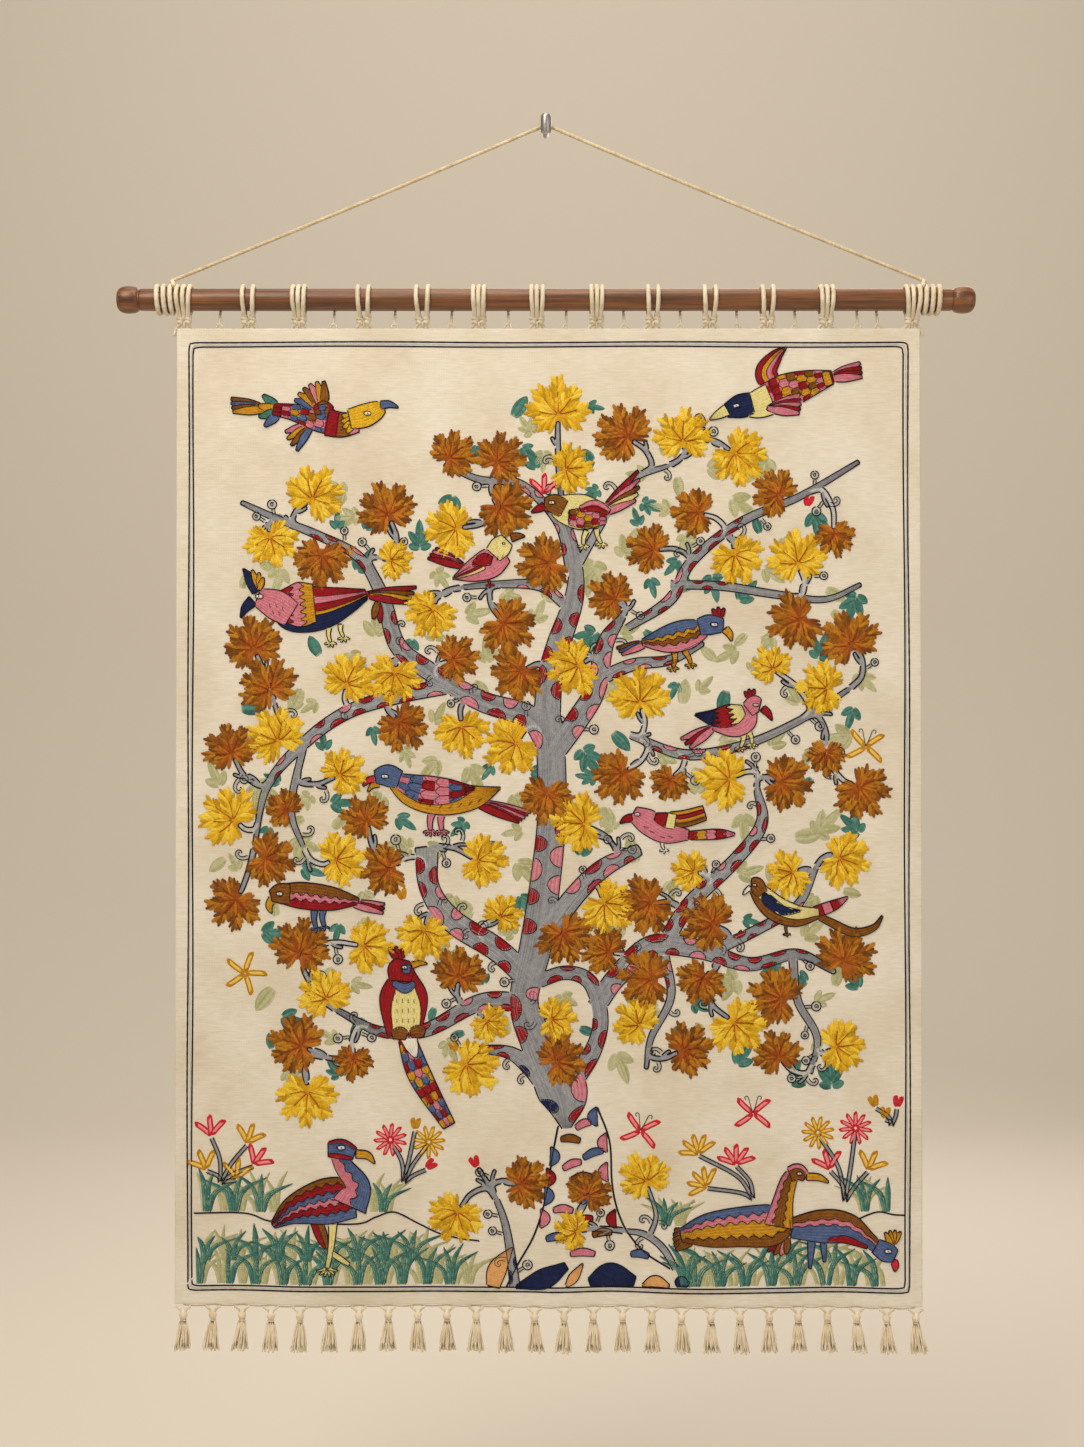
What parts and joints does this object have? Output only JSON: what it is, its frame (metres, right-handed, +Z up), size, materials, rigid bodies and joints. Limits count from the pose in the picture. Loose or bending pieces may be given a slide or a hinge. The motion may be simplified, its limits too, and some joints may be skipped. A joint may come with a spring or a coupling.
{
  "type": "crewel embroidery wall hanging with rod and wall peg",
  "caption": "Embroidered cotton panel with a flowering tree, birds and leaves, looped under a turned wooden rod, with a tasselled hem and a hanging cord over a wall peg.",
  "frame": {"origin": "centre of the wall peg's round back face, on the wall plane y = 0", "axes": "+Z up, +Y out of the peg's back face into the wall, so the embroidered face looks along -Y; +X to the viewer's right"},
  "size_m": [1.05, 0.0416, 1.5173],
  "materials": {
    "panel_cloth": "cream cotton cloth with coloured wool crewel embroidery",
    "cotton_cord": "twisted natural cotton cord",
    "tassel_yarn": "loose natural cotton yarn",
    "rod_wood": "walnut stained, satin lacquer",
    "peg_metal": "satin"
  },
  "bodies": {
    "root": {"wall_peg": "peg_metal", "rod": "rod_wood", "rod_cap_left": "rod_wood", "rod_cap_right": "rod_wood", "hanging_cord": "cotton_cord", "cord_wrap_left": "cotton_cord", "cord_wrap_right": "cotton_cord", "panel_cloth": "panel_cloth", "edging_cord": "cotton_cord", "hanger_01": "cotton_cord", "hanger_02": "cotton_cord", "hanger_03": "cotton_cord", "hanger_04": "cotton_cord", "hanger_05": "cotton_cord", "hanger_06": "cotton_cord", "hanger_07": "cotton_cord", "hanger_08": "cotton_cord", "hanger_09": "cotton_cord", "hanger_10": "cotton_cord", "hanger_11": "cotton_cord", "hanger_12": "cotton_cord", "hanger_13": "cotton_cord", "tie_01": "cotton_cord", "tie_02": "cotton_cord", "tie_03": "cotton_cord", "tie_04": "cotton_cord", "tie_05": "cotton_cord", "tie_06": "cotton_cord", "tie_07": "cotton_cord", "tie_08": "cotton_cord", "tie_09": "cotton_cord", "tie_10": "cotton_cord", "tie_11": "cotton_cord", "tie_12": "cotton_cord", "tassel_01": "tassel_yarn", "tassel_02": "tassel_yarn", "tassel_03": "tassel_yarn", "tassel_04": "tassel_yarn", "tassel_05": "tassel_yarn", "tassel_06": "tassel_yarn", "tassel_07": "tassel_yarn", "tassel_08": "tassel_yarn", "tassel_09": "tassel_yarn", "tassel_10": "tassel_yarn", "tassel_11": "tassel_yarn", "tassel_12": "tassel_yarn", "tassel_13": "tassel_yarn", "tassel_14": "tassel_yarn", "tassel_15": "tassel_yarn", "tassel_16": "tassel_yarn", "tassel_17": "tassel_yarn", "tassel_18": "tassel_yarn", "tassel_19": "tassel_yarn", "tassel_20": "tassel_yarn", "tassel_21": "tassel_yarn", "tassel_22": "tassel_yarn", "tassel_23": "tassel_yarn", "tassel_24": "tassel_yarn", "tassel_25": "tassel_yarn", "tassel_26": "tassel_yarn"}
  },
  "joints": []
}
